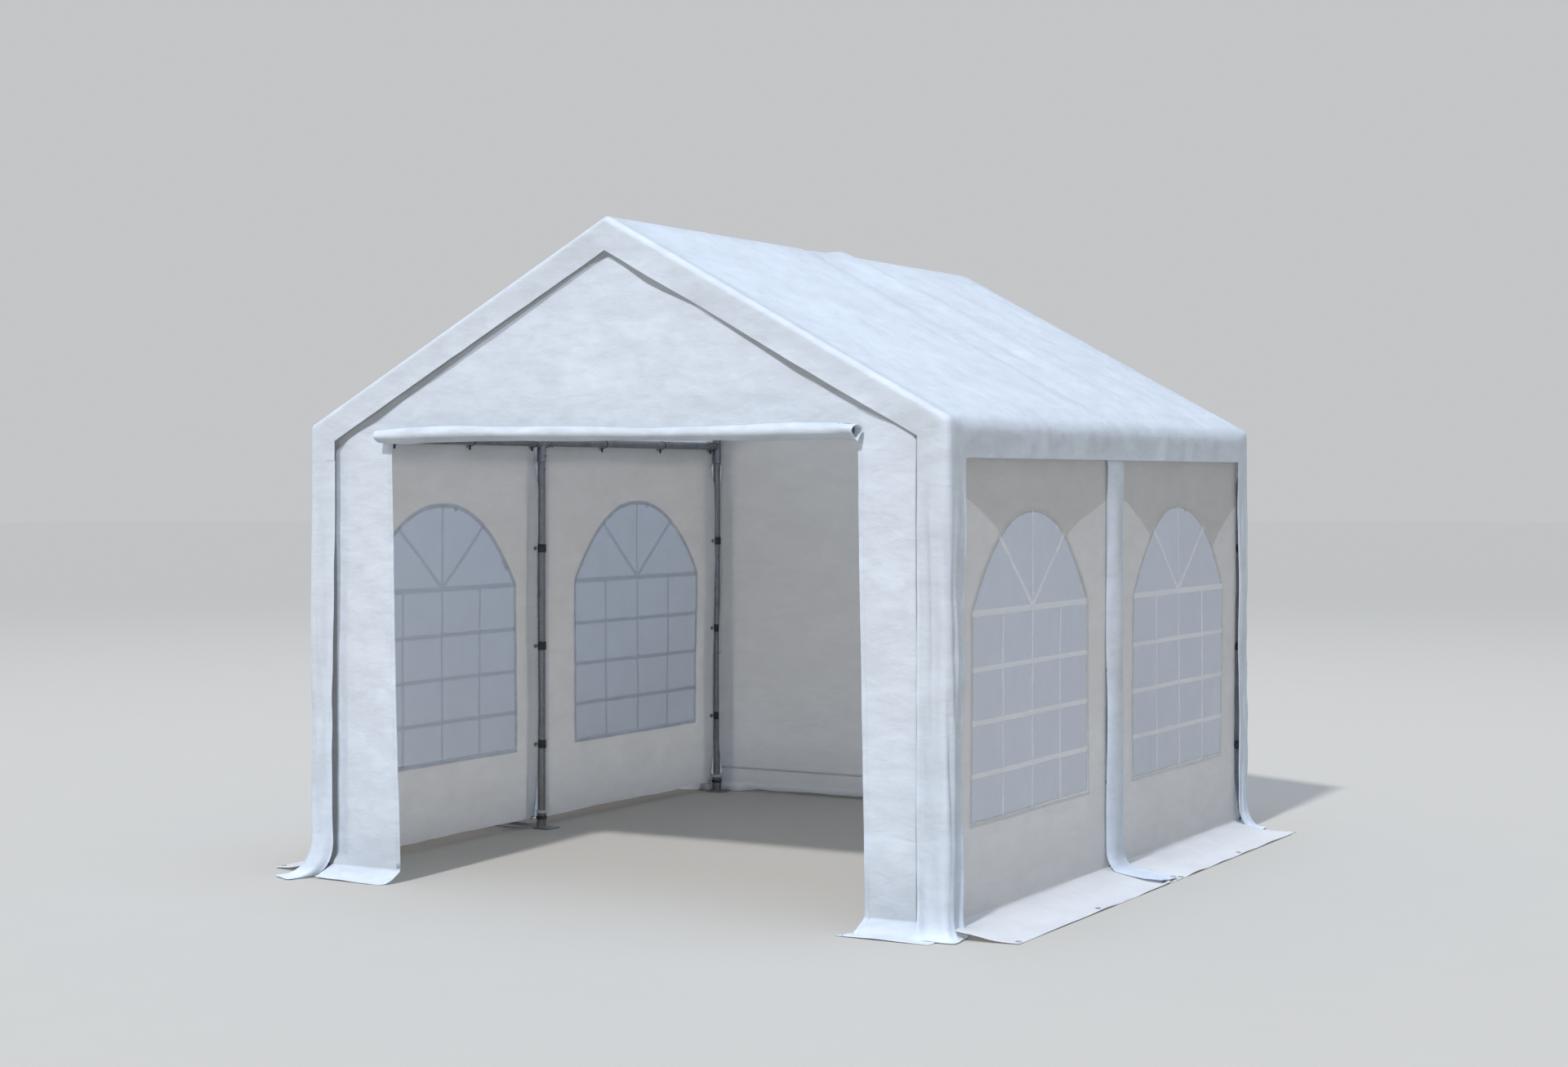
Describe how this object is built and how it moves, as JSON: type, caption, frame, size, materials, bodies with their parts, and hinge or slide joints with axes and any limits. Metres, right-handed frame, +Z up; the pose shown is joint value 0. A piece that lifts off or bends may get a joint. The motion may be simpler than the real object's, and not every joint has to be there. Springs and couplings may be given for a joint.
{
  "type": "marquee tent",
  "caption": "Pitched marquee tent on a tube frame, with a rolled-up gable door, arched windows in its side walls and flaps on the ground.",
  "frame": {"origin": "on the ground, in the middle of the tent's plan", "axes": "+X across the gables, to the right as seen from outside the doorway; +Y along the ridge, from the doorway to the rear wall; +Z up"},
  "size_m": [3.574, 3.654, 2.7623],
  "materials": {
    "cover_cloth": "coated cloth, satin white",
    "wall_cloth": "coated cloth, satin white",
    "window_film": "clear soft film",
    "tube_steel": "galvanised steel"
  },
  "bodies": {
    "root": {"roof_cover": "cover_cloth", "leg_cover_front_left": "cover_cloth", "leg_cover_front_right": "cover_cloth", "leg_cover_rear_left": "cover_cloth", "leg_cover_rear_right": "cover_cloth", "left_pole_flap": "cover_cloth", "right_pole_flap": "cover_cloth", "front_wall": "wall_cloth", "door_roll": "wall_cloth", "rear_wall": "wall_cloth", "left_wall_front": "wall_cloth", "left_wall_rear": "wall_cloth", "right_wall_front": "wall_cloth", "right_wall_rear": "wall_cloth", "left_window_front": "window_film", "left_window_rear": "window_film", "right_window_front": "window_film", "right_window_rear": "window_film", "post_front_left": "tube_steel", "post_front_right": "tube_steel", "post_mid_left": "tube_steel", "post_mid_right": "tube_steel", "post_rear_left": "tube_steel", "post_rear_right": "tube_steel", "eave_fitting_front_left": "tube_steel", "eave_fitting_front_right": "tube_steel", "eave_fitting_mid_left": "tube_steel", "eave_fitting_mid_right": "tube_steel", "eave_fitting_rear_left": "tube_steel", "eave_fitting_rear_right": "tube_steel", "ridge_fitting_front": "tube_steel", "ridge_fitting_mid": "tube_steel", "ridge_fitting_rear": "tube_steel", "eave_tube_front_left": "tube_steel", "eave_tube_front_right": "tube_steel", "eave_tube_rear_left": "tube_steel", "eave_tube_rear_right": "tube_steel", "ridge_tube_front": "tube_steel", "ridge_tube_rear": "tube_steel", "rafter_front_left": "tube_steel", "rafter_front_right": "tube_steel", "rafter_mid_left": "tube_steel", "rafter_mid_right": "tube_steel", "rafter_rear_left": "tube_steel", "rafter_rear_right": "tube_steel"}
  },
  "joints": []
}
